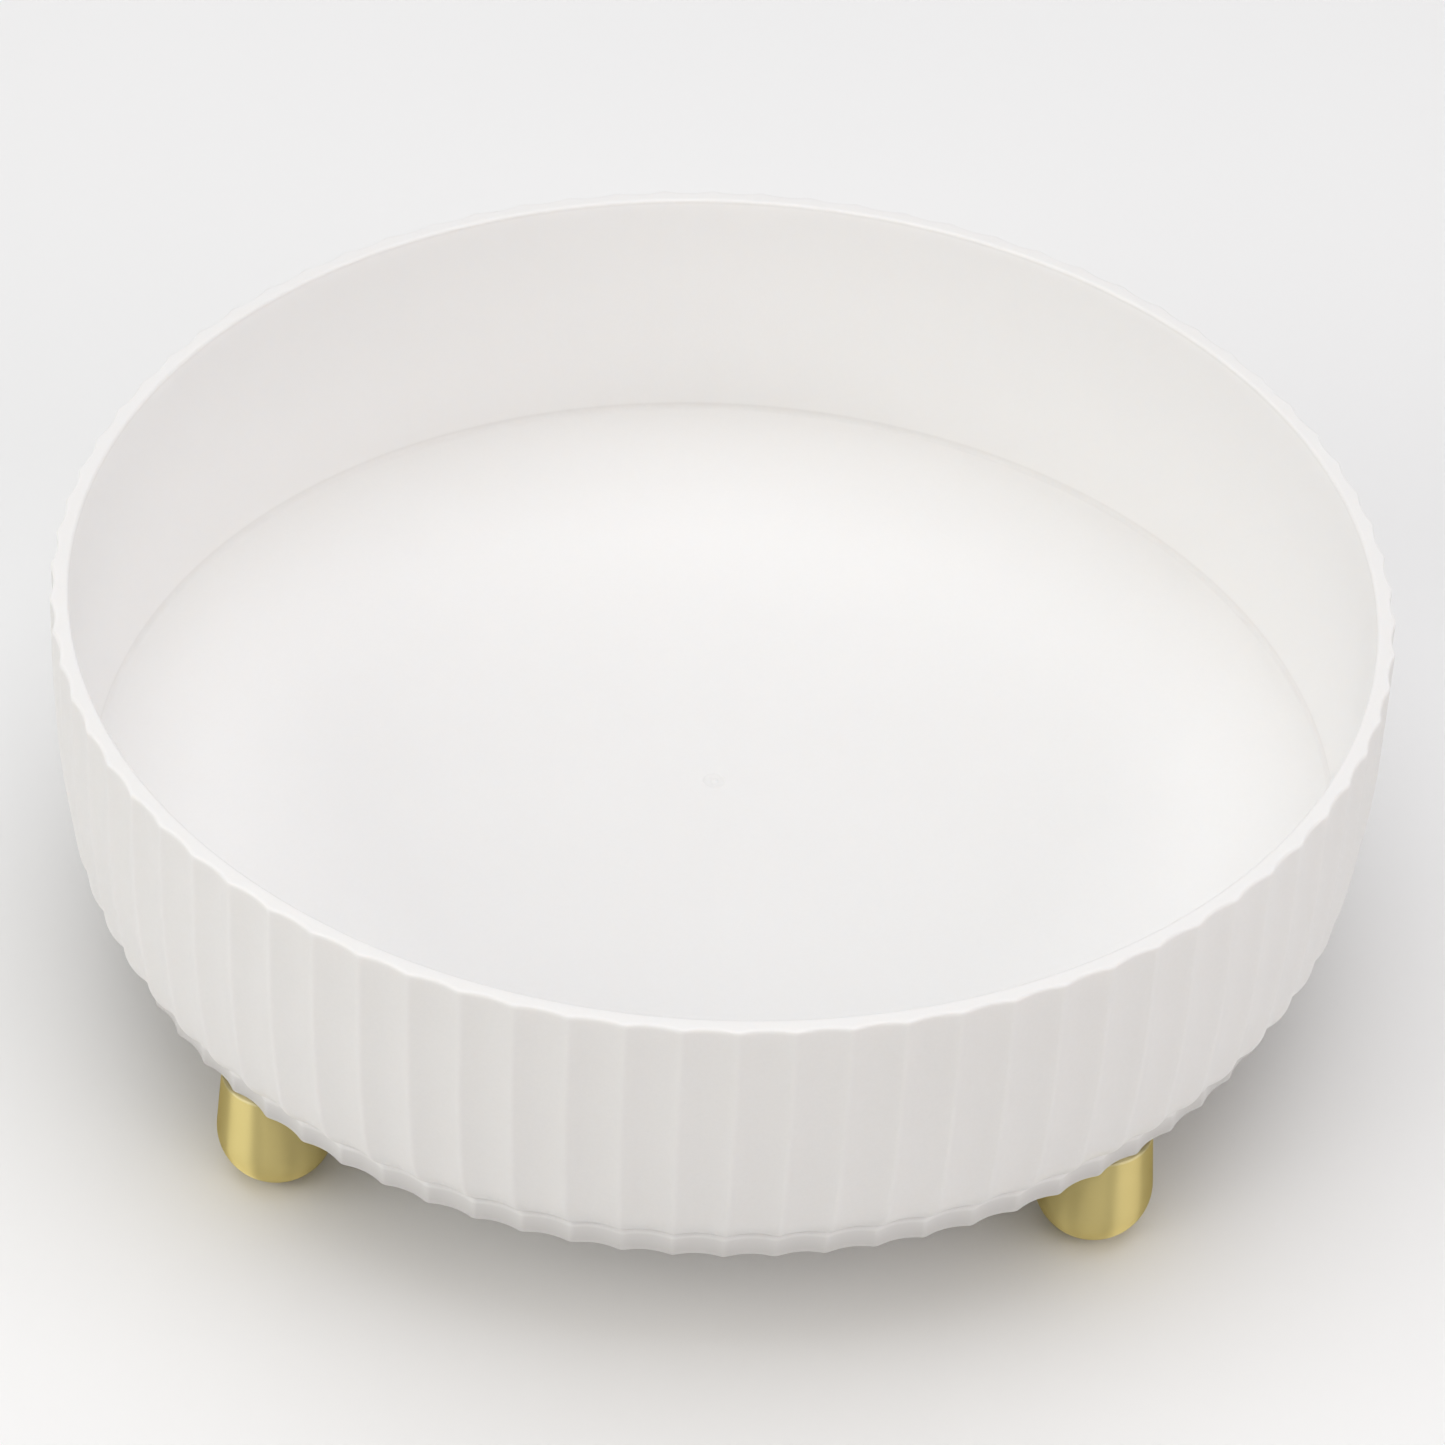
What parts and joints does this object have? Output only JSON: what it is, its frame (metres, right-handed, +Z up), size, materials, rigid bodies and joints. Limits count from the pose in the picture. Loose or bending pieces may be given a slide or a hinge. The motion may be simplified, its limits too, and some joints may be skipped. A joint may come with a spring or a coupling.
{
  "type": "lazy susan turntable",
  "caption": "Round fluted tray with an upright rim that spins on a ball race above a low base with rounded gold feet.",
  "frame": {"origin": "on the table under the spin axis, level with the undersides of the foot pads", "axes": "+Z up along the spin axis; the feet stand on the diagonals of X and Y, and a flute ridge lies at +X"},
  "size_m": [0.25, 0.25, 0.0865],
  "materials": {
    "tray": "satin moulded white",
    "base": "satin moulded white",
    "bearing_plastic": "natural acetal, smooth",
    "foot_gold": "plated satin gold",
    "pad": "translucent soft pad",
    "steel": "zinc plated",
    "ball_steel": "polished bearing steel"
  },
  "bodies": {
    "base": {"base_plate": "base", "hub_bush": "bearing_plastic", "foot_rear_right": "foot_gold", "foot_rear_left": "foot_gold", "foot_front_left": "foot_gold", "foot_front_right": "foot_gold", "foot_pad_rear_right": "pad", "foot_pad_rear_left": "pad", "foot_pad_front_left": "pad", "foot_pad_front_right": "pad", "foot_screw_rear_right": "steel", "foot_screw_rear_left": "steel", "foot_screw_front_left": "steel", "foot_screw_front_right": "steel"},
    "cage": {"ball_cage": "bearing_plastic", "race_ball_01": "ball_steel", "race_ball_02": "ball_steel", "race_ball_03": "ball_steel", "race_ball_04": "ball_steel", "race_ball_05": "ball_steel", "race_ball_06": "ball_steel", "race_ball_07": "ball_steel", "race_ball_08": "ball_steel", "race_ball_09": "ball_steel", "race_ball_10": "ball_steel", "race_ball_11": "ball_steel", "race_ball_12": "ball_steel", "race_ball_13": "ball_steel", "race_ball_14": "ball_steel", "race_ball_15": "ball_steel", "race_ball_16": "ball_steel"},
    "tray": {"tray": "tray", "centre_screw": "steel", "retaining_washer": "steel"}
  },
  "joints": [
    {"name": "tray_spin", "type": "hinge", "parent": "base", "child": "tray", "pos_m": [0, 0, 0.0302], "axis": [0, 0, 1], "continuous": true},
    {"name": "cage_spin", "type": "hinge", "parent": "base", "child": "cage", "pos_m": [0, 0, 0.0302], "axis": [0, 0, 1], "continuous": true}
  ],
  "couplings": [
    {"joint": "cage_spin", "follows": "tray_spin", "ratio": 0.5}
  ]
}
